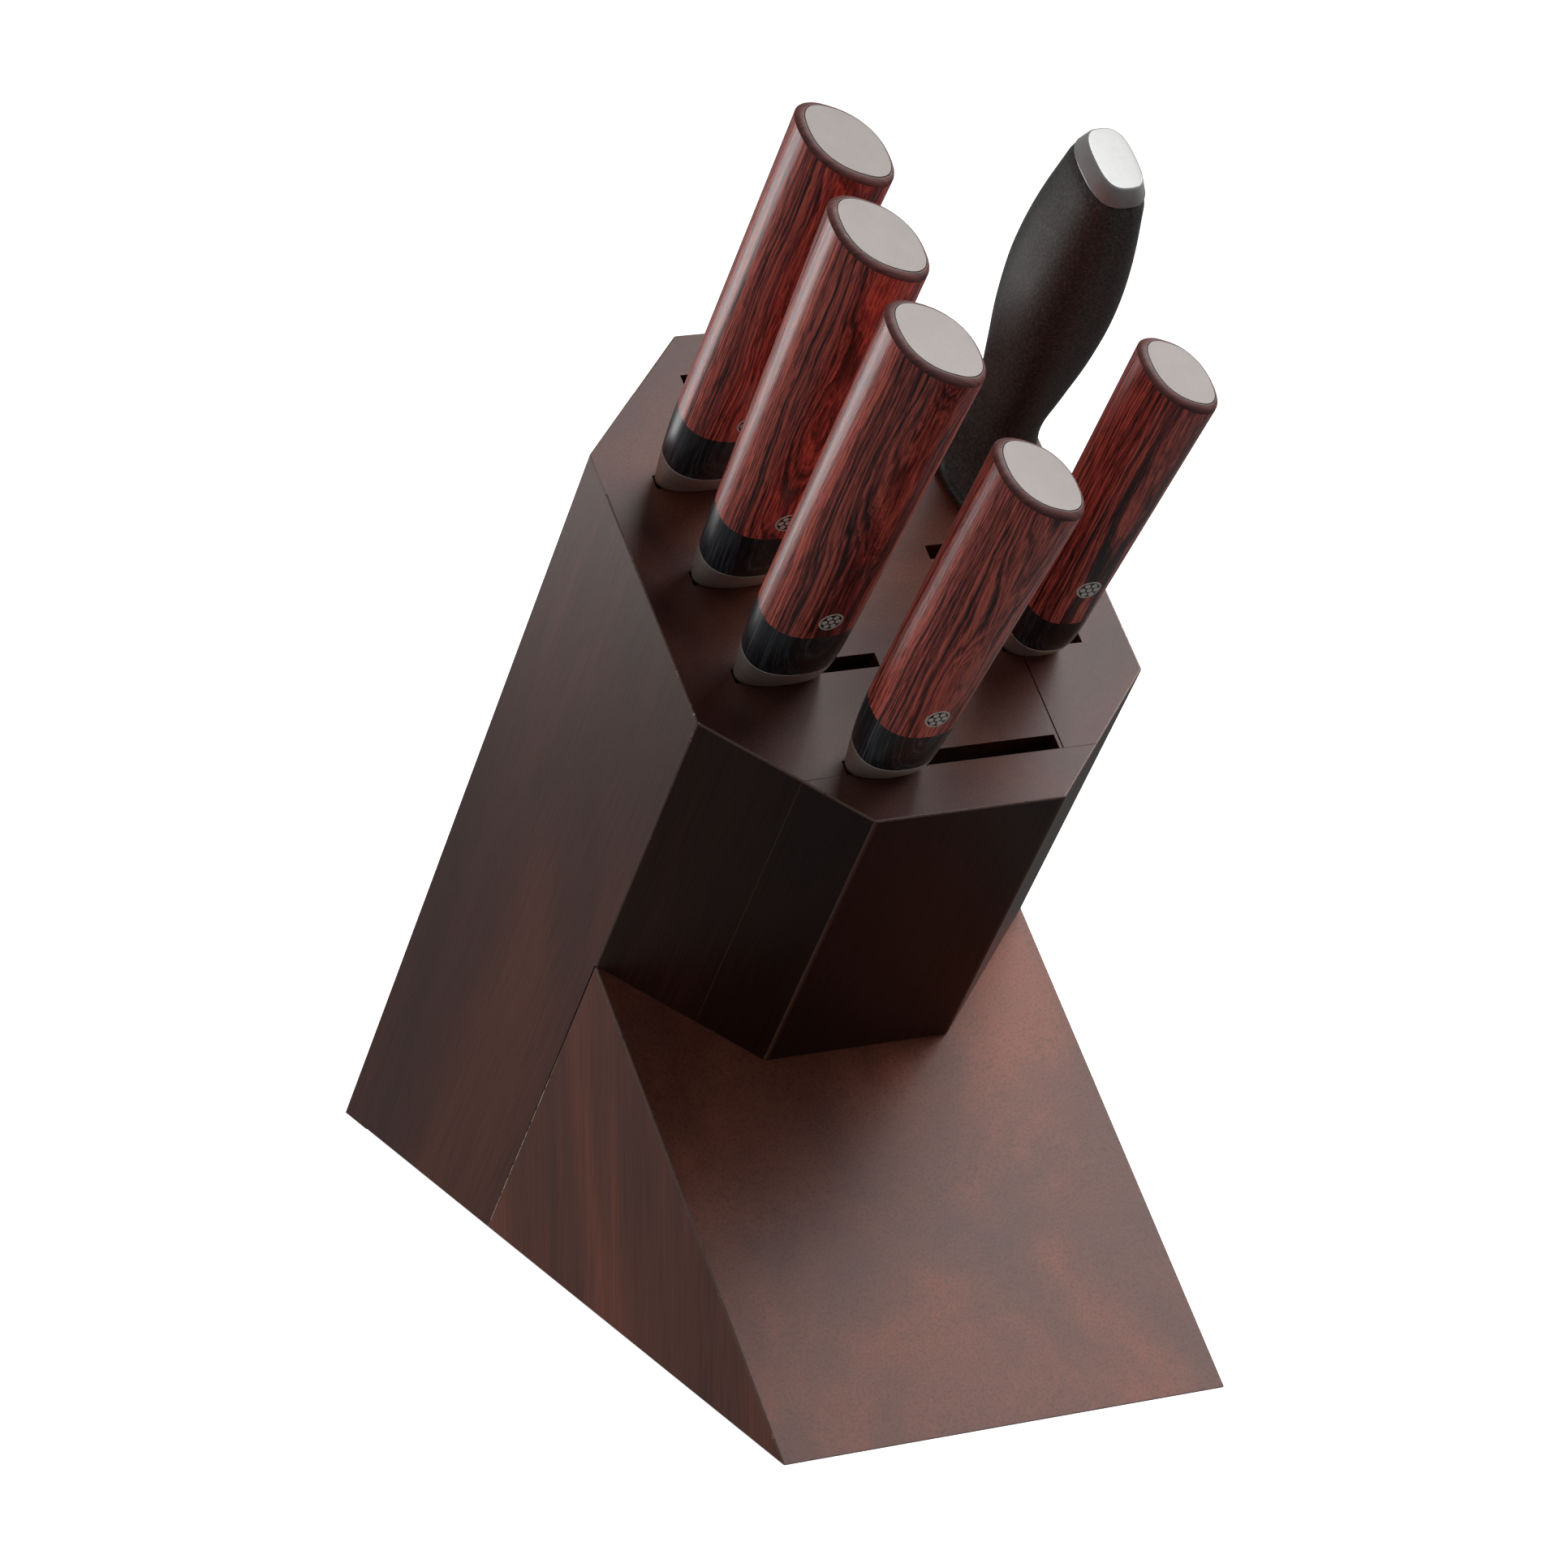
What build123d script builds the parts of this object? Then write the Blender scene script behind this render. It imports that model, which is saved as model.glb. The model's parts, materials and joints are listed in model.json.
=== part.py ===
"""Knife block with five knives and a honing steel.

The block is a leaning prism glued up from upright boards, standing on a wedge-shaped foot.
Each slot is a groove routed in the front face of one board and closed by the board in front.

World frame: millimetres, +Z up, front towards -Y, origin at the middle of the resting face.
Block frame (top_plane): x to the right, y towards the back, z up along the lean, with its
origin at the middle of the sloping top face.
"""
from build123d import *
from dataclasses import dataclass
from math import cos, pi, radians, sin, tan
import os

# ---------------------------------------------------------------- block
lean = 40.0                # degrees that the prism leans forward from upright
block_width = 125.0
corner_cut = 36.0          # leg of the 45 degree cut on each of the four long corners
top_height = 208.0         # middle of the top face above the floor
foot_drop = 107.0          # from the top face down to the foot's sloping face, along the lean

# ---------------------------------------------------------------- slots
slot_thickness = 4.4
row_pitch = 31.5           # from one of the five rows of slots to the next
row_margin = 16.3          # of wood beyond the first and last row, before middle_row moves them
middle_row = 0.8           # the third row lies this far behind the middle of the top face
edge_joint = 31.7          # x of the glue joint between the fifth board's two strips
tip_room = 8.0             # slot left free beyond a blade's tip
back_slot = (-29.5, 29.5)  # left and right ends of the two slots that stand empty
back_slot_depth = 258.0
centre_slot = (17.7, 48.0)
centre_slot_depth = 165.0

# ---------------------------------------------------------------- fits
seat_gap = 0.3             # between a handle and the top face that it rests on
slot_end_gap = 0.8         # between a blade's spine and the end of its slot
tang_gap = 0.1             # around a tang inside its handle
bore_gap = 1.2             # around the honing rod in its bore

# ---------------------------------------------------------------- knives
blade_thickness = 2.4
edge_thickness = 0.35
bevel_start = 0.4          # share of the blade's height that keeps its full thickness
spine_straight = 0.55      # share of the blade's length before the spine curves to the tip
edge_straight = 0.40       # the same for the edge
tip_pull = 0.88            # share of the blade's length where the curves' control points lie
shoulder_length = 9.0      # unsharpened stretch between ferrule and heel
shoulder_step = 4.0        # the shoulder is this much narrower than the ferrule
scallop_pitch = 4.0        # of a serrated edge
first_scallop = 1.5        # in pitches from the heel
scallop_radius = 2.6
scallop_depth = 0.9
ferrule_foot_thickness = 9.4
ferrule_top_thickness = 17.4
collar_top_thickness = 20.6
neck_growth = 2.0          # handle's widening from the ferrule's foot to the collar's top
grip_sections = 9          # evenly spaced, for the loft of the grip
grip_run_out = 0.12        # share of the grip's length that the loft runs past the butt
butt_slant = 25.5          # degrees that the butt is cut off square
butt_ring = 1.8            # wood left round the steel butt cap
butt_bevel = 1.0
cap_thickness = 3.0
tang_width = 10.0
tang_cover = 18.0          # solid wood between the tang's end and the middle of the butt
pin_radius = 3.25
pin_wall = 0.5
pin_offset = 1.5           # the pin's place from the middle of the neck, towards the belly
rod_radius = 0.72          # of the seven rods inside a mosaic pin
rod_circle = 1.85
rods_in_ring = 6

# ---------------------------------------------------------------- honing steel
steel_x = 44.2
steel_y = 28.3
steel_rod_radius = 5.2
steel_rod_length = 229.0   # below the top face
steel_tang_length = 70.0   # inside the handle
steel_tip_round = 2.5
guard_half_width = 14.6
guard_half_depth = 23.8
guard_thickness = 3.0
steel_sweep = 1.7          # the handle's butt lies this far behind its guard
steel_cap_height = 4.8
steel_cap_inset = 0.3
steel_cap_taper = 20.0     # degrees
squareness = 2.8           # power of the handle's superellipse sections: 2 would be an ellipse
section_points = 28
sections_per_span = 3      # lofted between each two of the sections below
# height above the top face, half width and half depth where the handle's profile is set
steel_sections = (
    (guard_thickness, 12.8, 21.5),
    (7.0, 10.6, 16.0),
    (12.7, 9.2, 13.0),
    (23.0, 7.6, 10.8),
    (37.0, 8.8, 12.8),
    (54.0, 11.0, 15.2),
    (72.0, 12.0, 16.4),
    (90.0, 10.9, 15.5),
    (111.0, 7.9, 12.3),
)


@dataclass
class Knife:
    name: str
    row: int               # 0 is the back row of slots, 4 the front row
    slot_left: float
    slot_right: float
    neck_width: float      # of the handle at the ferrule's foot
    butt_width: float
    butt_thickness: float
    butt_height: float     # middle of the butt above the top face
    blade_length: float
    blade_height: float
    tip_share: float       # tip's place across the blade: 0 at the spine, 1 at the edge
    ferrule_top: float     # heights above the top face
    collar_top: float
    pin_height: float
    spine_draft: float     # how far the spine side closes in from the slot to the butt
    scallops: int = 0

    @property
    def y(self):
        return row_y(self.row)

    @property
    def slot_depth(self):
        return self.blade_length + tip_room

    @property
    def spine(self):
        return self.slot_left + slot_end_gap

    @property
    def neck_middle(self):
        return self.slot_left + self.neck_width / 2

    @property
    def tang_end(self):
        return self.butt_height - tang_cover


knives = (
    Knife("chef", 1, -48.2, 13.0, 24.0, 28.4, 25.0, 128.0, 203.0, 51.0, 0.45, 10, 27, 33.5, 2.1),
    Knife("bread", 2, -48.8, -8.0, 24.0, 28.6, 25.0, 130.0, 229.0, 36.0, 0.72, 10, 27, 33.5, -0.6, 26),
    Knife("carving", 3, -48.2, -8.2, 24.0, 28.6, 25.0, 128.0, 216.0, 33.0, 0.40, 10, 27, 33.5, 2.7),
    Knife("prep", 4, -28.8, 30.5, 20.8, 26.4, 24.0, 113.0, 140.0, 46.0, 0.62, 8.8, 24.5, 32.0, 4.4),
    Knife("paring", 3, 26.6, 49.3, 16.6, 23.6, 22.8, 106.4, 89.0, 19.5, 0.50, 7.4, 20.5, 34.5, 2.6),
)

# ---------------------------------------------------------------- derived places
slope = radians(lean)
foot_reach = (top_height - foot_drop * cos(slope)) / sin(slope)  # to the foot's front edge
base_front = foot_drop * sin(slope) - foot_reach * cos(slope)
block_depth = 4 * row_pitch + 2 * row_margin   # front to back, square to the boards
base_back = top_height * tan(slope) + block_depth / (2 * cos(slope))
notch_y = corner_cut - block_depth / 2      # the foot joins the prism on this upright plane
beyond = 2 * (top_height + block_depth)     # longer than anything in the block
bore_radius = steel_rod_radius + bore_gap
steel_top = steel_sections[-1][0]
top_plane = Plane(
    origin=(0, -(base_front + base_back) / 2, top_height),
    x_dir=(1, 0, 0),
    z_dir=(0, -sin(slope), cos(slope)),
)


def at(x, y, z):
    """World point of a point in the block frame."""
    return top_plane.from_local_coords(Vector(x, y, z))


def level(height):
    """Plane square to the lean, at a height above the top face."""
    return top_plane.offset(height)


def row_y(row):
    return middle_row + (2 - row) * row_pitch


def row_plane(row):
    """Plane through the middle of a row of slots: x to the right, y up the lean."""
    return Plane(origin=at(0, row_y(row), 0), x_dir=(1, 0, 0), z_dir=-top_plane.y_dir)


def save(made, name):
    made.part.label = name
    export_step(made.part, f"parts/{name}.step")


# ---------------------------------------------------------------- boards and foot
with BuildSketch() as prism_outline:
    Rectangle(block_width, block_depth)
    chamfer(prism_outline.vertices(), length=corner_cut)

slots = [(0, *back_slot, back_slot_depth), (2, *centre_slot, centre_slot_depth)]
slots += [(knife.row, knife.slot_left, knife.slot_right, knife.slot_depth) for knife in knives]


def cut_slots(row):
    """Cut a row's slots from the part being built."""
    for slot_row, left, right, depth in slots:
        if slot_row == row:
            with BuildSketch(top_plane) as mouth:
                with Locations(((left + right) / 2, row_y(row))):
                    Rectangle(right - left, slot_thickness)
            extrude(mouth.sketch, amount=-depth, mode=Mode.SUBTRACT)


def cut_notch():
    """Cut away the prism's lower front, where the foot goes."""
    with BuildSketch(level(-foot_drop)) as notch:
        with Locations((0, notch_y)):
            Rectangle(block_width, beyond, align=(Align.CENTER, Align.MAX))
    extrude(notch.sketch, amount=-beyond, mode=Mode.SUBTRACT)


def cut_bore():
    """Cut the honing rod's bore."""
    with BuildSketch(top_plane) as mouth:
        with Locations((steel_x, steel_y)):
            Circle(bore_radius)
    extrude(mouth.sketch, amount=-(steel_rod_length + tip_room), mode=Mode.SUBTRACT)


def make_board(name, back, front, left=-block_width / 2, right=block_width / 2):
    """One upright board, from y = back to y = front in the block frame."""
    with BuildPart() as board:
        with BuildSketch(top_plane):
            add(prism_outline.sketch)
            with Locations(((left + right) / 2, (back + front) / 2)):
                Rectangle(right - left, back - front, mode=Mode.INTERSECT)
        extrude(amount=-beyond)
        split(bisect_by=Plane.XY, keep=Keep.TOP)
        if front < notch_y:
            cut_notch()
        for row in range(5):
            if front < row_y(row) < back:
                cut_slots(row)
        if front < steel_y + bore_radius and back > steel_y - bore_radius:
            cut_bore()
    save(board, name)


def make_block():
    joints = [row_y(row) - slot_thickness / 2 for row in range(5)]
    make_board("back_board", block_depth / 2, joints[0])
    make_board("second_board", joints[0], joints[1])
    make_board("third_board", joints[1], joints[2])
    make_board("fourth_board", joints[2], joints[3])
    make_board("fifth_board_left", joints[3], joints[4], right=edge_joint)
    make_board("fifth_board_right", joints[3], joints[4], left=edge_joint)
    make_board("front_board", joints[4], -block_depth / 2)


def make_foot():
    """The wedge, with the front row's slots carried on down into it."""
    with BuildPart() as foot:
        with BuildSketch(level(-foot_drop)):
            with Locations((0, notch_y)):
                Rectangle(block_width, notch_y + foot_reach, align=(Align.CENTER, Align.MAX))
        extrude(amount=-beyond)
        split(bisect_by=Plane.XY, keep=Keep.TOP)
        cut_slots(4)
    save(foot, "wedge_foot")


# ---------------------------------------------------------------- knives
def handle_section(knife, height):
    """Middle, width and thickness of a grip at a height above the top face."""
    share = (height - knife.collar_top) / (knife.butt_height - knife.collar_top)
    neck = knife.neck_width + neck_growth
    width = neck + share * (knife.butt_width - neck)
    thickness = collar_top_thickness + share * (knife.butt_thickness - collar_top_thickness)
    return knife.slot_left + share * knife.spine_draft + width / 2, width, thickness


def butt_plane(knife):
    """The slanted face at the end of a handle, higher on the spine side."""
    middle, _, _ = handle_section(knife, knife.butt_height)
    place = Location((middle, knife.y, knife.butt_height), (0, butt_slant, 0))
    return Plane(top_plane.location * place)


def handle_blank(knife):
    """The whole handle as one solid, a little longer than the finished one."""
    mid_neck = knife.neck_width + neck_growth / 2
    stations = [
        (seat_gap, knife.neck_middle, knife.neck_width, ferrule_foot_thickness),
        (knife.ferrule_top, knife.slot_left + mid_neck / 2, mid_neck, ferrule_top_thickness),
    ]
    grip_length = knife.butt_height - knife.collar_top
    for step in range(grip_sections):
        share = (1 + grip_run_out) * step / (grip_sections - 1)
        height = knife.collar_top + share * grip_length
        stations.append((height, *handle_section(knife, height)))
    with BuildPart() as blank:
        for height, middle, width, thickness in stations:
            with BuildSketch(level(height)):
                with Locations((middle, knife.y)):
                    Ellipse(width / 2, thickness / 2)
        loft()
    return blank.part


def cut_tang_room(knife):
    """Cut the tang's pocket from the handle piece being built."""
    with BuildSketch(row_plane(knife.row)) as pocket:
        with Locations((knife.neck_middle, 0)):
            Rectangle(
                tang_width + 2 * tang_gap,
                knife.tang_end + tang_gap,
                align=(Align.CENTER, Align.MIN),
            )
    half = blade_thickness / 2 + tang_gap
    extrude(pocket.sketch, amount=half, both=True, mode=Mode.SUBTRACT)


def cut_pin_hole(knife):
    """Cut the mosaic pin's hole across the piece being built."""
    with BuildSketch(row_plane(knife.row)) as hole:
        with Locations((knife.neck_middle + pin_offset, knife.pin_height)):
            Circle(pin_radius)
    extrude(hole.sketch, amount=knife.butt_thickness, both=True, mode=Mode.SUBTRACT)


def make_handle(knife, blank):
    """Steel ferrule, black collar, red grip with its slanted butt, and the butt's steel cap."""
    with BuildPart() as ferrule:
        add(blank)
        split(bisect_by=level(knife.ferrule_top), keep=Keep.BOTTOM)
        cut_tang_room(knife)
    save(ferrule, f"{knife.name}_ferrule")

    with BuildPart() as collar:
        add(blank)
        split(bisect_by=level(knife.ferrule_top), keep=Keep.TOP)
        split(bisect_by=level(knife.collar_top), keep=Keep.BOTTOM)
        cut_tang_room(knife)
    save(collar, f"{knife.name}_collar")

    butt = butt_plane(knife)
    cap_half_width = knife.butt_width / (2 * cos(radians(butt_slant))) - butt_ring
    with BuildSketch(butt) as cap_outline:
        Ellipse(cap_half_width, knife.butt_thickness / 2 - butt_ring)

    with BuildPart() as grip:
        add(blank)
        split(bisect_by=level(knife.collar_top), keep=Keep.TOP)
        split(bisect_by=butt, keep=Keep.BOTTOM)
        chamfer(grip.faces().sort_by(Axis(butt.origin, butt.z_dir))[-1].edges(), butt_bevel)
        extrude(cap_outline.sketch, amount=-cap_thickness, mode=Mode.SUBTRACT)
        cut_tang_room(knife)
        cut_pin_hole(knife)
    save(grip, f"{knife.name}_grip")

    with BuildPart() as cap:
        extrude(cap_outline.sketch, amount=-cap_thickness)
    save(cap, f"{knife.name}_butt_cap")


def make_mosaic_pin(knife, blank):
    """A thin tube through the grip, filled with resin round seven metal rods."""
    middle = (knife.neck_middle + pin_offset, knife.pin_height)

    def trimmed(draw, name):
        """Run a sketch across the handle and trim it flush with the grip."""
        with BuildPart() as piece:
            with BuildSketch(row_plane(knife.row)):
                with Locations(middle):
                    draw()
            extrude(amount=knife.butt_thickness, both=True)
            add(blank, mode=Mode.INTERSECT)
        save(piece, f"{knife.name}_pin_{name}")

    def draw_rods(mode=Mode.ADD):
        Circle(rod_radius, mode=mode)
        with PolarLocations(rod_circle, rods_in_ring):
            Circle(rod_radius, mode=mode)

    def draw_tube():
        Circle(pin_radius)
        Circle(pin_radius - pin_wall, mode=Mode.SUBTRACT)

    def draw_resin():
        Circle(pin_radius - pin_wall)
        draw_rods(Mode.SUBTRACT)

    trimmed(draw_tube, "tube")
    trimmed(draw_resin, "resin")
    trimmed(draw_rods, "rods")


def make_blade(knife):
    """Blade, shoulder and tang in one piece of steel."""
    spine = knife.spine
    edge = spine + knife.blade_height
    shoulder = knife.slot_left + knife.neck_width - shoulder_step
    tip = (spine + knife.tip_share * knife.blade_height, -knife.blade_length)
    spine_end = -spine_straight * knife.blade_length
    edge_end = -edge_straight * knife.blade_length
    pull = -tip_pull * knife.blade_length
    with BuildPart() as blade:
        with BuildSketch(row_plane(knife.row)):
            with BuildLine():
                Line((spine, seat_gap), (spine, spine_end))
                Bezier((spine, spine_end), (spine, pull), tip)
                Bezier(tip, (edge, pull), (edge, edge_end))
                Polyline(
                    (edge, edge_end),
                    (edge, -shoulder_length),
                    (shoulder, -shoulder_length),
                    (shoulder, seat_gap),
                    (spine, seat_gap),
                )
            make_face()
            for scallop in range(knife.scallops):
                along = -shoulder_length - (scallop + first_scallop) * scallop_pitch
                with Locations((edge + scallop_radius - scallop_depth, along)):
                    Circle(scallop_radius, mode=Mode.SUBTRACT)
        extrude(amount=blade_thickness / 2, both=True)
        with BuildSketch(level(seat_gap)):
            full = spine + bevel_start * knife.blade_height
            half, thin = blade_thickness / 2, edge_thickness / 2
            with Locations((0, knife.y)):
                Polygon(
                    (spine, -half), (full, -half), (edge, -thin),
                    (edge, thin), (full, half), (spine, half),
                    align=None,
                )
        extrude(amount=-(knife.blade_length + seat_gap), mode=Mode.INTERSECT)
        with BuildSketch(row_plane(knife.row)):
            with Locations((knife.neck_middle, seat_gap)):
                Rectangle(
                    tang_width, knife.tang_end - seat_gap, align=(Align.CENTER, Align.MIN)
                )
        extrude(amount=blade_thickness / 2, both=True)
        cut_pin_hole(knife)
    save(blade, f"{knife.name}_blade")


# ---------------------------------------------------------------- honing steel
def steel_section(height, half_width, half_depth):
    """A rounded, nearly rectangular section of the honing steel's handle or cap."""

    def rounded(ratio, half):
        return half * abs(ratio) ** (2 / squareness) * (1 if ratio > 0 else -1)

    middle = steel_y + steel_sweep * (height / steel_top) ** 2
    points = []
    for step in range(section_points):
        turn = 2 * pi * (step + 0.5) / section_points
        points.append((rounded(cos(turn), half_width), rounded(sin(turn), half_depth)))
    with BuildSketch(level(height)) as section:
        with BuildLine(Location((steel_x, middle))):
            Spline(*points, periodic=True)
        make_face()
    return section.sketch


def steel_profile():
    """Sections of the honing steel's handle, on a smooth curve through steel_sections."""

    def slope(index):
        before = steel_sections[max(index - 1, 0)]
        after = steel_sections[min(index + 1, len(steel_sections) - 1)]
        return [(b - a) / (after[0] - before[0]) for a, b in zip(before, after)]

    made = [steel_sections[0]]
    for index, (start, end) in enumerate(zip(steel_sections, steel_sections[1:])):
        length = end[0] - start[0]
        for step in range(1, sections_per_span + 1):
            t = step / sections_per_span
            rise = t * t * (3 - 2 * t)
            leave, arrive = t * (1 - t) ** 2 * length, t * t * (t - 1) * length
            sides = zip(start, end, slope(index), slope(index + 1))
            _, *halves = [a + rise * (b - a) + leave * p + arrive * q for a, b, p, q in sides]
            made.append((start[0] + t * length, *halves))
    return made


def make_honing_steel():
    with BuildPart() as rod:
        with BuildSketch(level(steel_tang_length)):
            with Locations((steel_x, steel_y)):
                Circle(steel_rod_radius)
        extrude(amount=-(steel_tang_length + steel_rod_length))
        fillet(rod.edges().sort_by(Axis(top_plane.origin, top_plane.z_dir))[0], steel_tip_round)
    save(rod, "honing_rod")

    with BuildPart() as handle:
        loft([steel_section(*section) for section in steel_profile()])
        with BuildSketch(level(seat_gap)):
            with Locations((steel_x, steel_y)):
                Ellipse(guard_half_width, guard_half_depth)
        extrude(amount=guard_thickness - seat_gap)
        with BuildSketch(level(0)):
            with Locations((steel_x, steel_y)):
                Circle(steel_rod_radius)
        extrude(amount=steel_tang_length, mode=Mode.SUBTRACT)
    save(handle, "honing_handle")

    top, half_width, half_depth = steel_sections[-1]
    with BuildPart() as cap:
        shrink = steel_cap_height * tan(radians(steel_cap_taper))
        base = (half_width - steel_cap_inset, half_depth - steel_cap_inset)
        loft([
            steel_section(top, *base),
            steel_section(top + steel_cap_height, base[0] - shrink, base[1] - shrink),
        ])
    save(cap, "honing_cap")


os.makedirs("parts", exist_ok=True)
make_block()
make_foot()
for each in knives:
    whole_handle = handle_blank(each)
    make_handle(each, whole_handle)
    make_mosaic_pin(each, whole_handle)
    make_blade(each)
make_honing_steel()
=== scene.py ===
"""Knife block with five knives and a honing steel.

Laid out as an add-on and run as a script. Everything is in metres. Pieces are modelled in the
block's own frame: x to the right, y towards the back, z up along the lean, with the origin at
the middle of the sloping top face. BLOCK then puts them in place.
"""
import json
import math

import bmesh
import bpy
from mathutils import Matrix, Quaternion, Vector


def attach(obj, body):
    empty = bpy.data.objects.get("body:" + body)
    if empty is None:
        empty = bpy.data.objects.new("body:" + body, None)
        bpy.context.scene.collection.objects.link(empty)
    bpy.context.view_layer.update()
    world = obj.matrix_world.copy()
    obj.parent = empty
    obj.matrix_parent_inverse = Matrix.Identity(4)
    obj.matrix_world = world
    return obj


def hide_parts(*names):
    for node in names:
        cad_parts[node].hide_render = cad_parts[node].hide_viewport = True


bl_info = {
    "name": "Knife Block",
    "version": (1, 0, 0),
    "blender": (4, 5, 0),
    "location": "View3D > Sidebar > Knife Block",
    "description": "Builds the finished pieces of a knife block, its knives and its honing steel",
    "category": "Add Mesh",
}

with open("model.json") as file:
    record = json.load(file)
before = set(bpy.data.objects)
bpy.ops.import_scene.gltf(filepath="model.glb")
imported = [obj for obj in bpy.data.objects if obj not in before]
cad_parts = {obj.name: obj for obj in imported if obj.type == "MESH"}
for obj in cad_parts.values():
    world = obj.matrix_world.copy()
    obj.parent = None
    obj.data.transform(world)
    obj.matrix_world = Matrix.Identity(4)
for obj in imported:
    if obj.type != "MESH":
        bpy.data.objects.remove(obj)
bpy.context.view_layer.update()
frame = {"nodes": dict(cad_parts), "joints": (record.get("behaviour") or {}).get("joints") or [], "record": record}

MM = 0.001
KNIVES = ("chef", "bread", "carving", "prep", "paring")
BOARDS = tuple(frame["record"]["behaviour"]["bodies"]["block"])


# ---------------------------------------------------------------- the block's own frame
def block_frame():
    """Matrix from the block's frame to the world, and the lean in radians."""
    axis = Vector(frame["joints"][0]["axis"])
    lean = math.atan2(-axis.y, axis.z)
    turn = Matrix.Rotation(lean, 4, "X")
    back = turn.inverted()
    points = [back @ v.co for n in BOARDS if n != "wedge_foot" for v in frame["nodes"][n].data.vertices]
    ys = [p.y for p in points]
    middle = Vector((0, (min(ys) + max(ys)) / 2, max(p.z for p in points)))
    return Matrix.Translation(turn @ middle) @ turn, lean


BLOCK, LEAN = block_frame()
INTO_BLOCK = BLOCK.inverted()


def span(node):
    """Lowest and highest corner of a CAD node in the block's frame."""
    points = [INTO_BLOCK @ v.co for v in frame["nodes"][node].data.vertices]
    low = Vector(min(p[i] for p in points) for i in range(3))
    high = Vector(max(p[i] for p in points) for i in range(3))
    return low, high


def section(node, height):
    """Middle x and y, half width and half depth of a CAD node where it crosses a height."""
    mesh = frame["nodes"][node].data
    points = [INTO_BLOCK @ v.co for v in mesh.vertices]
    cuts = []
    for edge in mesh.edges:
        a, b = (points[i] for i in edge.vertices)
        if (a.z - height) * (b.z - height) < 0:
            cuts.append(a.lerp(b, (height - a.z) / (b.z - a.z)))
    xs, ys = [p.x for p in cuts], [p.y for p in cuts]
    return (
        (min(xs) + max(xs)) / 2,
        (min(ys) + max(ys)) / 2,
        (max(xs) - min(xs)) / 2,
        (max(ys) - min(ys)) / 2,
    )


# ---------------------------------------------------------------- sizes and colours
def size_property(name, description, default):
    return bpy.props.FloatProperty(
        name=name, description=description, default=default, min=0, unit="LENGTH", precision=5
    )


def factor_property(name, description, default, high=1.0):
    return bpy.props.FloatProperty(
        name=name, description=description, default=default, min=0, max=high, subtype="FACTOR"
    )


def colour_property(name, description, default):
    return bpy.props.FloatVectorProperty(
        name=name, description=description, default=default, min=0, max=1, size=3, subtype="COLOR"
    )


class BlockLooks(bpy.types.PropertyGroup):
    """The stained wooden block."""

    easing: size_property("Easing", "Rounding of the block's outer edges", 0.5 * MM)
    glue_line: size_property("Glue line", "Width of the glue joints that show", 0.4 * MM)
    dark_stain: colour_property("Dark stain", "Stain where it is deepest", (0.024, 0.0082, 0.0058))
    stain: colour_property("Stain", "The stain's usual colour", (0.045, 0.0138, 0.0088))
    red_stain: colour_property("Red stain", "Stain where the wood shows through", (0.082, 0.0235, 0.0135))
    # painted highlight: the lighter colour along every eased edge
    edge_highlight: colour_property("Rubbed edge", "Stain rubbed thin along the edges", (0.14, 0.080, 0.062))
    worn: colour_property("Worn edge", "Bare wood on chipped edges", (0.58, 0.43, 0.34))


class HandleLooks(bpy.types.PropertyGroup):
    """The knives' handles."""

    fullness: bpy.props.FloatProperty(
        name="Fullness",
        description="Power of the handle's outline: 2 is an ellipse, more is squarer",
        default=2.35, min=2, max=4,
    )
    butt_bevel: size_property("Butt bevel", "Bevel round the slanted butt", 1.6 * MM)
    butt_ring: size_property("Butt ring", "Wood from the handle's side to the steel cap", 1.8 * MM)
    recess: size_property("Recess", "Depth that the cap is let into the butt", 1.6 * MM)
    cap_rise: size_property("Cap rise", "Height of the cap above the wood", 0.12 * MM)
    pin_rise: size_property("Pin rise", "Height of the mosaic pin above the wood", 0.05 * MM)
    pin_wall: size_property("Pin wall", "Wall of the mosaic pin's tube", 0.5 * MM)
    red: colour_property("Red veneer", "The brighter dyed veneers", (0.95, 0.20, 0.135))
    deep_red: colour_property("Deep red veneer", "The darker dyed veneers", (0.38, 0.064, 0.054))
    black: colour_property("Black veneer", "The black dyed veneers", (0.014, 0.0058, 0.0058))
    veneer_ends: colour_property("Veneer ends", "The veneers' cut ends round the butt", (0.12, 0.036, 0.031))
    collar: colour_property("Collar", "The collar's blue-black veneers", (0.012, 0.0145, 0.019))
    collar_streak: colour_property("Collar streak", "The collar's lighter fibres", (0.11, 0.125, 0.15))
    ferrule: colour_property("Ferrule", "Brushed steel of the ferrules", (0.88, 0.83, 0.76))
    steel: colour_property("Steel", "Brushed steel of the butt caps", (0.20, 0.182, 0.171))


class HoningLooks(bpy.types.PropertyGroup):
    """The honing steel."""

    fullness: bpy.props.FloatProperty(
        name="Fullness",
        description="Power of the handle's outline: 2 is an ellipse, more is squarer",
        default=2.9, min=2, max=5,
    )
    butt_bevel: size_property("Butt bevel", "Bevel between the handle and its cap", 1.3 * MM)
    flute_depth: size_property("Flute depth", "Depth of the rod's fine ridges", 0.12 * MM)
    plastic: colour_property("Plastic", "The handle's charcoal plastic", (0.042, 0.039, 0.037))
    cap: colour_property("Cap", "The polished steel cap", (0.33, 0.328, 0.324))


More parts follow.
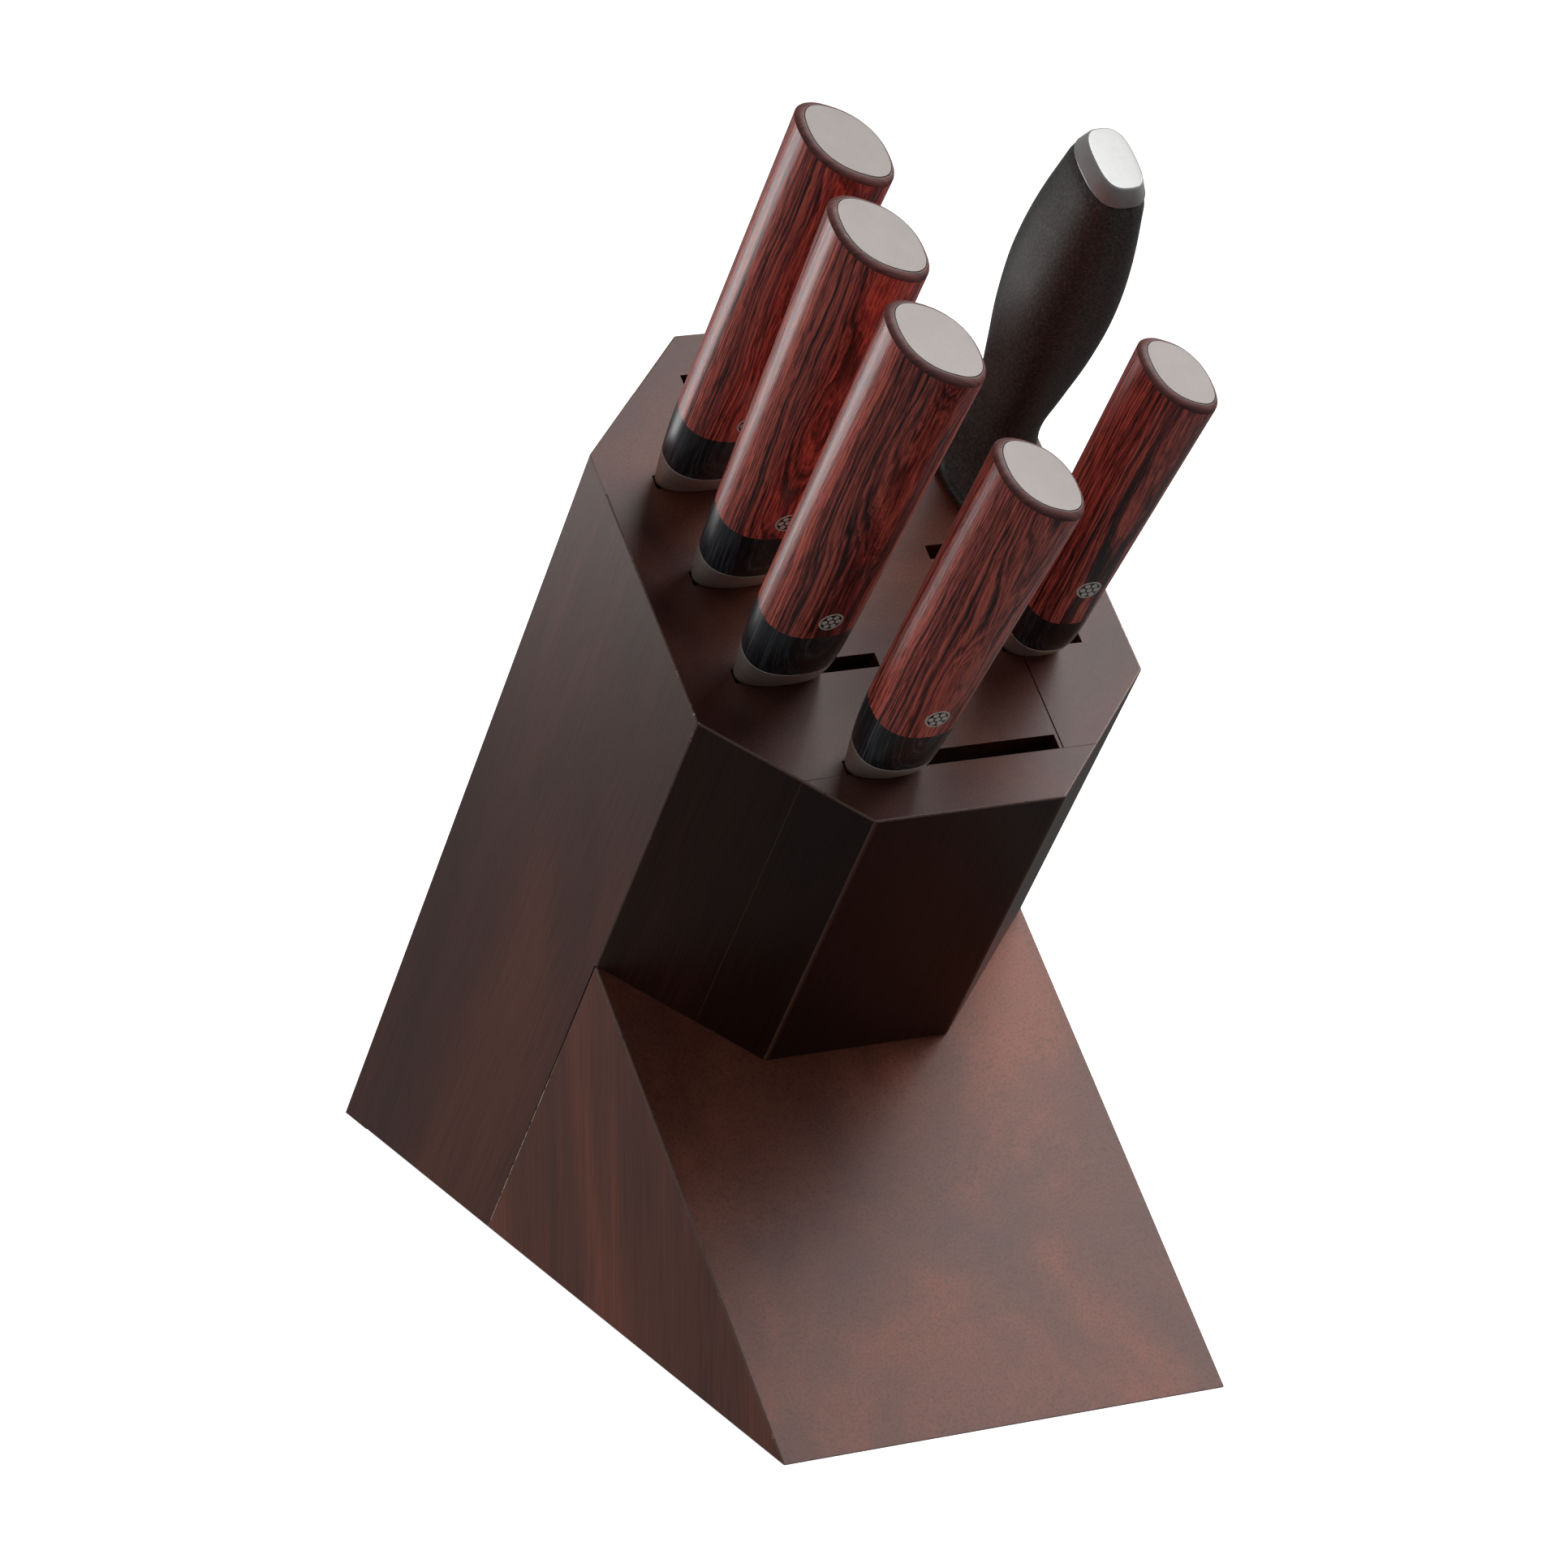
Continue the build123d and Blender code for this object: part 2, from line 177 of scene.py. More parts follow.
class StageLooks(bpy.types.PropertyGroup):
    """The floor, the lights and the camera."""

    azimuth: bpy.props.FloatProperty(
        name="Azimuth", description="Camera's turn round the object",
        default=math.radians(-24.41), subtype="ANGLE",
    )
    elevation: bpy.props.FloatProperty(
        name="Elevation", description="Camera's angle above the horizon",
        default=math.radians(15.06), subtype="ANGLE",
    )
    roll: bpy.props.FloatProperty(
        name="Roll", description="Camera's turn about its own axis",
        default=math.radians(-0.52), subtype="ANGLE",
    )
    distance: size_property("Distance", "From the camera to the point it looks at", 1.7)
    target: bpy.props.FloatVectorProperty(
        name="Target", description="The point that the camera looks at",
        default=(0.0524, 0.0696, 0.1022), size=3, subtype="TRANSLATION",
    )
    lens: bpy.props.FloatProperty(
        name="Lens", description="Focal length in millimetres", default=134.64, subtype="DISTANCE_CAMERA"
    )
    floor: colour_property("Floor", "The plain pale floor", (0.86, 0.86, 0.86))
    glow: factor_property("Glow", "Light that the floor gives off by itself", 0.8, high=4.0)
    air: factor_property("Air", "Strength of the even light from all round", 0.25, high=4.0)


GROUPS = {
    "knife_block_block": BlockLooks,
    "knife_block_handles": HandleLooks,
    "knife_block_honing": HoningLooks,
    "knife_block_stage": StageLooks,
}


# ---------------------------------------------------------------- modelling helpers
RING_POINTS = 96


def clear_selection():
    if bpy.context.object and bpy.context.object.mode != "OBJECT":
        bpy.ops.object.mode_set(mode="OBJECT")
    bpy.ops.object.select_all(action="DESELECT")


def work_on(piece):
    clear_selection()
    piece.select_set(True)
    bpy.context.view_layer.objects.active = piece


def edit(piece):
    work_on(piece)
    bpy.ops.object.mode_set(mode="EDIT")
    bpy.ops.mesh.select_all(action="DESELECT")


def pick(piece, faces=None, edges=None):
    """Select an edited mesh's faces or edges by a test; nothing else stays selected."""
    bpy.ops.mesh.select_mode(type="FACE" if faces else "EDGE")
    bpy.ops.mesh.select_all(action="DESELECT")
    mesh = bmesh.from_edit_mesh(piece.data)
    mesh.normal_update()
    chosen = [f for f in mesh.faces if faces(f)] if faces else [e for e in mesh.edges if edges(e)]
    if not chosen:
        raise RuntimeError(f"nothing to select on {piece.name}")
    for item in chosen:
        item.select_set(True)
    mesh.select_flush_mode()
    bmesh.update_edit_mesh(piece.data)


def fuller(point, power):
    """A point of the unit circle moved out to a superellipse of that power."""
    reach = (abs(point.x) ** power + abs(point.y) ** power) ** (-1 / power)
    return Vector((point.x * reach, point.y * reach, 0))


def loft(name, sections, outline):
    """A closed piece: a ring drawn at the first section and extruded through the others.

    A section is height, middle x, middle y, half width and half depth. outline moves each
    point of the unit circle to the ring's own shape.
    """
    clear_selection()
    bpy.ops.mesh.primitive_circle_add(vertices=RING_POINTS, radius=1, fill_type="NGON")
    piece = bpy.context.object
    piece.name = piece.data.name = name
    for vertex in piece.data.vertices:
        vertex.co = outline(vertex.co, vertex.index)
    edit(piece)
    bpy.ops.mesh.select_all(action="SELECT")
    height, x, y, half_width, half_depth = sections[0]
    bpy.ops.transform.resize(value=(half_width, half_depth, 1), center_override=(0, 0, 0))
    bpy.ops.transform.translate(value=(x, y, height))
    for before, after in zip(sections, sections[1:]):
        step = (after[1] - before[1], after[2] - before[2], after[0] - before[0])
        bpy.ops.mesh.extrude_region_move(TRANSFORM_OT_translate={"value": step})
        bpy.ops.transform.resize(
            value=(after[3] / before[3], after[4] / before[4], 1),
            center_override=(after[1], after[2], after[0]),
        )
    bpy.ops.mesh.select_all(action="SELECT")
    bpy.ops.mesh.normals_make_consistent(inside=False)
    bpy.ops.object.mode_set(mode="OBJECT")
    return piece


def place(piece, where=None):
    """Put a piece that was modelled in the block's frame, or in a frame of its own, in place."""
    work_on(piece)
    piece.matrix_world = BLOCK @ where if where else BLOCK
    bpy.ops.object.transform_apply(location=True, rotation=True, scale=True)


def finish_piece(piece, material, body, replaced, angle=32):
    work_on(piece)
    bpy.ops.object.shade_smooth_by_angle(angle=math.radians(angle))
    if material:
        piece.data.materials.clear()
        piece.data.materials.append(material)
    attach(piece, body)
    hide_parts(*replaced)


# ---------------------------------------------------------------- node helpers
def add_node(tree, kind, inputs=None, **settings):
    """A shader node with its settings, and its sockets set to values or linked to other sockets."""
    made = tree.nodes.new(kind)
    for key, value in settings.items():
        setattr(made, key, value)
    for socket, value in (inputs or {}).items():
        if isinstance(value, bpy.types.NodeSocket):
            tree.links.new(value, made.inputs[socket])
        else:
            made.inputs[socket].default_value = value
    return made


def start_material(name, **constants):
    """A material with its shader's constant sockets set."""
    material = bpy.data.materials.new(name)
    material.use_nodes = True
    tree = material.node_tree
    shader = tree.nodes["Principled BSDF"]
    for socket, value in constants.items():
        shader.inputs[socket.replace("_", " ")].default_value = value
    return material, tree, shader


def block_coordinates(tree, scale=(1, 1, 1), turn=(0, 0, 0)):
    """Object coordinates turned into the block's axes, then scaled and turned."""
    source = add_node(tree, "ShaderNodeTexCoord").outputs["Object"]
    level = add_node(tree, "ShaderNodeMapping", {"Vector": source, "Rotation": (-LEAN, 0, 0)})
    return add_node(
        tree, "ShaderNodeMapping", {"Vector": level.outputs[0], "Rotation": turn, "Scale": scale}
    ).outputs[0]


def noise(tree, vector, scale, detail=2.0, roughness=0.5, distortion=0.0):
    return add_node(tree, "ShaderNodeTexNoise", {
        "Vector": vector, "Scale": scale, "Detail": detail,
        "Roughness": roughness, "Distortion": distortion,
    }).outputs["Fac"]


def ramp(tree, value, stops):
    """A colour ramp; a stop is a place and a colour or a grey."""
    made = add_node(tree, "ShaderNodeValToRGB", {"Fac": value})
    points = made.color_ramp.elements
    while len(points) < len(stops):
        points.new(0.5)
    for point, (position, colour) in zip(points, stops):
        point.position = position
        grey = isinstance(colour, (int, float))
        point.color = (colour, colour, colour, 1) if grey else (*colour, 1)
    return made.outputs["Color"]


def math_node(tree, operation, first, second=0.5, third=0.5):
    return add_node(tree, "ShaderNodeMath", {0: first, 1: second, 2: third}, operation=operation).outputs[0]


def mix_colours(tree, factor, first, second, blend="MIX"):
    """Mix two colours; a colour is a socket or three numbers."""
    made = tree.nodes.new("ShaderNodeMix")
    made.data_type = "RGBA"
    made.blend_type = blend
    for index, value in ((0, factor), (6, first), (7, second)):
        if isinstance(value, bpy.types.NodeSocket):
            tree.links.new(value, made.inputs[index])
        else:
            made.inputs[index].default_value = value if index == 0 else (*value, 1)
    return made.outputs[2]


def bump(tree, height, strength, distance):
    return add_node(tree, "ShaderNodeBump", {
        "Height": height, "Strength": strength, "Distance": distance,
    }).outputs["Normal"]


def link(tree, socket, shader, name):
    tree.links.new(socket, shader.inputs[name])


# ---------------------------------------------------------------- materials
def make_stained_wood(name, richness=1.0, grain_turn=(0, 0, 0), shift=0.0):
    """Dark stain over straight-grained wood, under a thin satin lacquer.

    richness makes the whole stain lighter and redder.
    """
    looks = bpy.context.scene.knife_block_block
    material, tree, shader = start_material(
        name, Coat_Weight=0.04, Coat_Roughness=0.25, Specular_IOR_Level=0.30
    )
    plain = block_coordinates(tree, turn=grain_turn)
    moved = add_node(tree, "ShaderNodeMapping", {"Vector": plain, "Location": (shift, shift, shift)})
    along = add_node(tree, "ShaderNodeMapping", {"Vector": moved.outputs[0], "Scale": (1, 1, 0.16)})
    fibre = add_node(tree, "ShaderNodeMapping", {"Vector": moved.outputs[0], "Scale": (1, 1, 0.03)})
    cloud = noise(tree, along.outputs[0], 16, detail=3, roughness=0.55, distortion=0.6)
    streak = noise(tree, fibre.outputs[0], 330, detail=4, roughness=0.6)
    pores = noise(tree, fibre.outputs[0], 1500, detail=2)
    fleck = noise(tree, moved.outputs[0], 900, detail=3)
    depth = math_node(tree, "MULTIPLY_ADD", streak, 0.10, math_node(tree, "ADD", cloud, -0.05))
    shades = (looks.dark_stain, looks.stain, looks.red_stain)
    stain = ramp(tree, depth, [
        (place, tuple(c * richness for c in shade)) for place, shade in zip((0.32, 0.50, 0.68), shades)
    ])
    grain = ramp(tree, pores, [(0.3, 0.62), (0.52, 1.0), (0.75, 1.12)])
    link(tree, mix_colours(tree, 0.8, stain, grain, "MULTIPLY"), shader, "Base Color")
    gloss = math_node(tree, "MULTIPLY_ADD", fleck, 0.10, math_node(tree, "MULTIPLY_ADD", cloud, 0.16, 0.26))
    link(tree, gloss, shader, "Roughness")
    surface = math_node(tree, "MULTIPLY_ADD", pores, 0.6, math_node(tree, "MULTIPLY", fleck, 0.4))
    link(tree, bump(tree, surface, 0.10, 0.0002), shader, "Normal")
    return material


def make_highlit_chipped_edge():
    """Eased edges: a lighter colour painted along them as a highlight, chipped through to the pale wood here and
    there.
    """
    looks = bpy.context.scene.knife_block_block
    material, tree, shader = start_material("chipped edge with painted highlight", Roughness=0.42, Coat_Weight=0.1)
    chips = noise(tree, block_coordinates(tree, scale=(1, 1, 0.5)), 700, detail=4, roughness=0.7)
    patches = noise(tree, block_coordinates(tree), 38, detail=2)
    edge_marks = math_node(tree, "MULTIPLY_ADD", patches, 0.45, chips)
    # the stops from 0.66 to 0.90 paint a lighter colour along the edges as a highlight; only the last stop is
    # chips of real wood
    colour = ramp(tree, edge_marks, [
        (0.45, tuple(looks.stain)), (0.66, tuple(looks.edge_highlight)),
        (0.90, tuple(looks.edge_highlight)), (0.98, tuple(looks.worn)),
    ])
    link(tree, colour, shader, "Base Color")
    return material


def make_glue_line():
    """A joint that shows as a hairline, chipped pale near the floor."""
    looks = bpy.context.scene.knife_block_block
    material, tree, shader = start_material("glue line", Roughness=0.5)
    source = add_node(tree, "ShaderNodeTexCoord").outputs["Object"]
    height = add_node(tree, "ShaderNodeSeparateXYZ", {0: source}).outputs["Z"]
    low = add_node(tree, "ShaderNodeMapRange", {
        "Value": height, "From Min": 0.066, "From Max": 0.050, "To Min": 0.0, "To Max": 1.0,
    }).outputs[0]
    chips = noise(tree, source, 420, detail=4, roughness=0.7)
    edge_marks = ramp(tree, chips, [(0.42, 0.0), (0.52, 1.0)])
    amount = math_node(tree, "MULTIPLY", edge_marks, low)
    link(tree, mix_colours(tree, amount, tuple(looks.red_stain), tuple(looks.worn)), shader, "Base Color")
    return material


def make_laminate(name, colours, pitch, shift, sheen, warp_depth=3.4 * MM):
    """Resin-bonded veneers stacked through the handle's thickness, cut by its curved side.

    colours are the ramp's stops; pitch is one veneer's thickness.
    """
    material, tree, shader = start_material(
        name, Coat_Weight=0.45, Coat_Roughness=0.24, Specular_IOR_Level=0.4
    )
    source = block_coordinates(tree)
    moved = add_node(tree, "ShaderNodeMapping", {"Vector": source, "Location": shift}).outputs[0]

    def drawn_out(stretch):
        return add_node(tree, "ShaderNodeMapping", {"Vector": moved, "Scale": (1, 1, stretch)}).outputs[0]

    parts = add_node(tree, "ShaderNodeSeparateXYZ", {0: moved})
    warp = noise(tree, drawn_out(0.3), 75, detail=1.5)
    waver = noise(tree, drawn_out(0.1), 700, detail=3, roughness=0.6)
    depth = math_node(tree, "MULTIPLY_ADD", warp, warp_depth, parts.outputs["Y"])
    depth = math_node(tree, "MULTIPLY_ADD", waver, 0.6 * MM, depth)
    stack = add_node(tree, "ShaderNodeCombineXYZ", {
        "X": math_node(tree, "DIVIDE", depth, pitch),
        "Y": math_node(tree, "MULTIPLY", parts.outputs["Z"], 4.0),
        "Z": math_node(tree, "MULTIPLY", parts.outputs["X"], 4.0),
    }).outputs[0]
    veneer = noise(tree, stack, 1.0, detail=4, roughness=0.76)
    fibre = noise(tree, drawn_out(0.03), 2400, detail=3, roughness=0.65)
    vessel = noise(tree, drawn_out(0.075), 1900, detail=1)
    value = math_node(tree, "MULTIPLY_ADD", fibre, 0.44, math_node(tree, "ADD", veneer, -0.22))
    colour = ramp(tree, value, colours)
    shade = ramp(tree, vessel, [(0.30, 0.25), (0.40, 1.0), (0.75, 1.12)])
    link(tree, mix_colours(tree, 0.85, colour, shade, "MULTIPLY"), shader, "Base Color")
    link(tree, math_node(tree, "MULTIPLY_ADD", fibre, 0.2, sheen), shader, "Roughness")
    link(tree, bump(tree, math_node(tree, "ADD", fibre, vessel), 0.2, 0.00012), shader, "Normal")
    return material


def make_end_grain():
    """The veneers' cut ends on the butt's bevel, which soak up the finish and stay dull."""
    looks = bpy.context.scene.knife_block_handles
    material, tree, shader = start_material("veneer ends", Specular_IOR_Level=0.4)
    source = block_coordinates(tree)
    parts = add_node(tree, "ShaderNodeSeparateXYZ", {0: source})
    layers = add_node(tree, "ShaderNodeCombineXYZ", {
        "X": math_node(tree, "MULTIPLY", parts.outputs["Y"], 1600.0),
        "Y": math_node(tree, "MULTIPLY", parts.outputs["X"], 60.0),
        "Z": parts.outputs["Z"],
    }).outputs[0]
    tone = noise(tree, layers, 1.0, detail=2)
    grit = noise(tree, source, 2600, detail=2)
    ends = tuple(looks.veneer_ends)
    colour = ramp(tree, tone, [(0.3, tuple(c * 0.55 for c in ends)), (0.7, tuple(c * 1.25 for c in ends))])
    link(tree, colour, shader, "Base Color")
    link(tree, math_node(tree, "MULTIPLY_ADD", grit, 0.2, 0.36), shader, "Roughness")
    link(tree, bump(tree, grit, 0.15, 0.0001), shader, "Normal")
    return material


def make_brushed_steel(name, colour, stretch, roughness, turn=(0, 0, 0), depth=0.12):
    """Steel with fine brushed lines; stretch is small along the lines."""
    material, tree, shader = start_material(name, Metallic=1.0)
    lines = noise(tree, block_coordinates(tree, scale=stretch, turn=turn), 2600, detail=3, roughness=0.65)
    cloud = noise(tree, block_coordinates(tree), 110, detail=2)
    tone = math_node(tree, "MULTIPLY_ADD", cloud, 0.16, math_node(tree, "MULTIPLY", lines, 0.35))
    shade = ramp(tree, tone, [(0.12, 0.80), (0.4, 1.06)])
    link(tree, mix_colours(tree, 1.0, tuple(colour), shade, "MULTIPLY"), shader, "Base Color")
    link(tree, math_node(tree, "MULTIPLY_ADD", lines, 0.14, roughness), shader, "Roughness")
    link(tree, bump(tree, lines, depth, 0.00006), shader, "Normal")
    return material


def make_plastic():
    """Charcoal plastic with a fine spark-eroded grain."""
    looks = bpy.context.scene.knife_block_honing
    material, tree, shader = start_material("spark-eroded plastic", Specular_IOR_Level=0.5)
    source = block_coordinates(tree)
    grain = noise(tree, source, 1300, detail=2, roughness=0.55)
    cloud = noise(tree, source, 60, detail=2)
    speckle = ramp(tree, grain, [(0.36, 0.55), (0.5, 1.0), (0.66, 1.75)])
    link(tree, mix_colours(tree, 1.0, tuple(looks.plastic), speckle, "MULTIPLY"), shader, "Base Color")
    link(tree, math_node(tree, "MULTIPLY_ADD", cloud, 0.12, 0.42), shader, "Roughness")
    link(tree, bump(tree, grain, 0.42, 0.00016), shader, "Normal")
    return material


def make_polished_steel(name, colour, roughness):
    """Bright steel, shaded mostly as a pale solid so that it stays light where nothing is mirrored."""
    material, tree, shader = start_material(name, Metallic=0.22, Specular_IOR_Level=0.6)
    haze = noise(tree, block_coordinates(tree), 420, detail=4, roughness=0.6)
    shade = ramp(tree, haze, [(0.3, 0.94), (0.7, 1.03)])
    link(tree, mix_colours(tree, 1.0, tuple(colour), shade, "MULTIPLY"), shader, "Base Color")
    link(tree, math_node(tree, "MULTIPLY_ADD", haze, 0.1, roughness), shader, "Roughness")
    link(tree, bump(tree, haze, 0.05, 0.00005), shader, "Normal")
    return material


def make_resin():
    """Black casting resin with a few tiny bubbles."""
    material, tree, shader = start_material("casting resin", Coat_Weight=0.6, Coat_Roughness=0.1)
    dust = noise(tree, block_coordinates(tree), 2800, detail=2)
    link(tree, ramp(tree, dust, [(0.4, 0.006), (0.7, 0.03)]), shader, "Base Color")
    link(tree, math_node(tree, "MULTIPLY_ADD", dust, 0.2, 0.2), shader, "Roughness")
    return material


# ---------------------------------------------------------------- block
def is_outer(face_normal, centre, name):
    """Whether a board's face, in the block's frame, is one that shows once the block is glued."""
    half_width = span("third_board")[1].x
    low, high = span("front_board")[0].y, span("back_board")[1].y
    near = 0.05 * MM
    world_normal = BLOCK.to_3x3() @ face_normal
    if world_normal.z < -0.999:
        return True
    if abs(face_normal.x) > 0.999 and abs(abs(centre.x) - half_width) < near:
        return True
    if face_normal.z > 0.999:
        return name == "wedge_foot" or abs(centre.z) < near
    if face_normal.z < -0.999:
        return True
    if abs(face_normal.y) > 0.999:
        return abs(centre.y - low) < near or abs(centre.y - high) < near
    return abs(abs(face_normal.x) - abs(face_normal.y)) < 0.01 and abs(face_normal.z) < 0.01


def copy_board(name):
    """A board's CAD mesh as a new piece of clean flat faces, in the block's frame."""
    board = frame["nodes"][name].copy()
    board.data = frame["nodes"][name].data.copy()
    bpy.context.scene.collection.objects.link(board)
    for key in [k for k in board.keys() if k.startswith("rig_")]:
        del board[key]
    board.parent = None
    board.name = board.data.name = f"{name}_wood"
    board.data.transform(INTO_BLOCK)
    board.data.materials.clear()
    edit(board)
    bpy.ops.mesh.select_all(action="SELECT")
    bpy.ops.mesh.remove_doubles(threshold=1e-6)
    bpy.ops.mesh.dissolve_limited(angle_limit=math.radians(0.5))
    return board


class KNIFEBLOCK_OT_boards(bpy.types.Operator):
    """Ease the outer edges of the boards and the foot, and open their hairline glue joints"""

    bl_idname = "knife_block.boards"
    bl_label = "Eased boards"

    flat = 1                    # degrees: no edge of a board is shaded round
    least_turn = math.radians(10)
    shortest_joint = 20 * MM
    foot_grain = math.radians(38)
    # how strongly each part takes the stain; the front's lower value is painted shade for the dim front faces, not
    # a real difference in the wood
    upright_stain, foot_stain, front_stain = 1.9, 3.6, 0.8

    def execute(self, context):
        looks = context.scene.knife_block_block
        upright = make_stained_wood("stained wood", self.upright_stain)
        foot_wood = make_stained_wood(
            "stained wood of the foot", self.foot_stain, (self.foot_grain, 0, 0), 0.47
        )
        # the block's front and underside get a darker copy of the stain: painted shade standing in for the dim
        # light on these faces
        deep = make_stained_wood("stain darkened as painted shade", self.front_stain, shift=0.11)
        edge, glue = make_highlit_chipped_edge(), make_glue_line()
        shown = {"fifth_board_left": "x", "front_board": "y", "wedge_foot": "y"}
        for name in BOARDS:
            board = copy_board(name)
            for material in (foot_wood if name == "wedge_foot" else upright, edge, glue, deep):
                board.data.materials.append(material)
            if name != "wedge_foot":
                # faces turned to the front or downwards take the darker copy of the stain, which is painted shade
                pick(board, faces=lambda face: face.normal.y < -0.6 or face.normal.z < -0.9)
                board.active_material_index = 3
                bpy.ops.object.material_slot_assign()

            def outer(face):
                return is_outer(face.normal, face.calc_center_median(), name)

            def meets(item, count):
                faces = item.link_faces
                return len(faces) == 2 and sum(outer(f) for f in faces) == count

            def eased(item):
                return meets(item, 2) and item.calc_face_angle(0) > self.least_turn

            def jointed(item):
                inner = [f for f in item.link_faces if not outer(f)]
                axis = shown.get(name)
                return axis and meets(item, 1) and abs(getattr(inner[0].normal, axis)) > 0.99 and (
                    item.calc_length() > self.shortest_joint
                )

            # eased edges take the edge material, with its painted highlight
            pick(board, edges=eased)
            bpy.ops.mesh.bevel(
                offset=looks.easing, segments=3, affect="EDGES", material=1, clamp_overlap=True
            )
            if name in shown:
                pick(board, edges=jointed)
                bpy.ops.mesh.bevel(offset=looks.glue_line, segments=1, affect="EDGES", material=2)
            bpy.ops.object.mode_set(mode="OBJECT")
            place(board)
            finish_piece(board, None, "block", [name], angle=self.flat)
        return {"FINISHED"}


# ---------------------------------------------------------------- knives
class Handle:
    """Sizes of one knife's handle, read from its CAD nodes."""

    slant = math.radians(25.5)    # of the butt
    cad_cap = 3.0 * MM            # thickness of the CAD cap
    below_butt = 2.0 * MM         # from the slanted butt down to the last whole section

    def __init__(self, name):
        self.name = name
        self.body = f"{name}_knife"
        low, high = span(f"{name}_butt_cap")
        tilt, rise = math.cos(self.slant), math.sin(self.slant)
        half = ((high.x - low.x) - self.cad_cap * rise) / (2 * tilt)
        self.butt = Vector((high.x - half * tilt, (low.y + high.y) / 2, high.z - half * rise))
        self.butt_normal = Vector((rise, 0, tilt))
        self.fullness = bpy.context.scene.knife_block_handles.fullness
        start = span(f"{name}_collar")[1].z
        pin_low, pin_high = span(f"{name}_pin_tube")
        self.pin = Vector(((pin_low.x + pin_high.x) / 2, self.butt.y, (pin_low.z + pin_high.z) / 2))
        self.pin_radius = (pin_high.x - pin_low.x) / 2
        last = self.butt.z - half * rise - self.below_butt
        self.low_section = section(f"{name}_grip", start + 0.1 * MM)
        self.high_section = section(f"{name}_grip", last)
        self.low_height, self.high_height = start, last

    def at(self, height):
        """The grip's section at a height, on the straight run from its neck to its butt."""
        share = (height - self.low_height) / (self.high_height - self.low_height)
        values = (a + share * (b - a) for a, b in zip(self.low_section, self.high_section))
        return (height, *values)

    def surface(self, x, z, side):
        """The y of the grip's side at a place; side is -1 in front and 1 behind."""
        _, middle, y, half_width, half_depth = self.at(z)
        across = abs((x - middle) / half_width)
        return y + side * half_depth * (1 - across ** self.fullness) ** (1 / self.fullness)

    def outline(self, point, _):
        return fuller(point, self.fullness)


def shared_sections(node, heights):
    """CAD sections of a node at heights given as shares of its own height."""
    low, high = span(node)
    inside = 0.02 * MM
    made = []
    for share in heights:
        height = low.z + share * (high.z - low.z)
        clear = min(max(height, low.z + inside), high.z - inside)
        made.append((height, *section(node, clear)))
    return made


def narrowed(item, amount, lift=0.0):
    """A section drawn in all round by an amount, and lifted."""
    return (item[0] + lift, item[1], item[2], item[3] - amount, item[4] - amount)


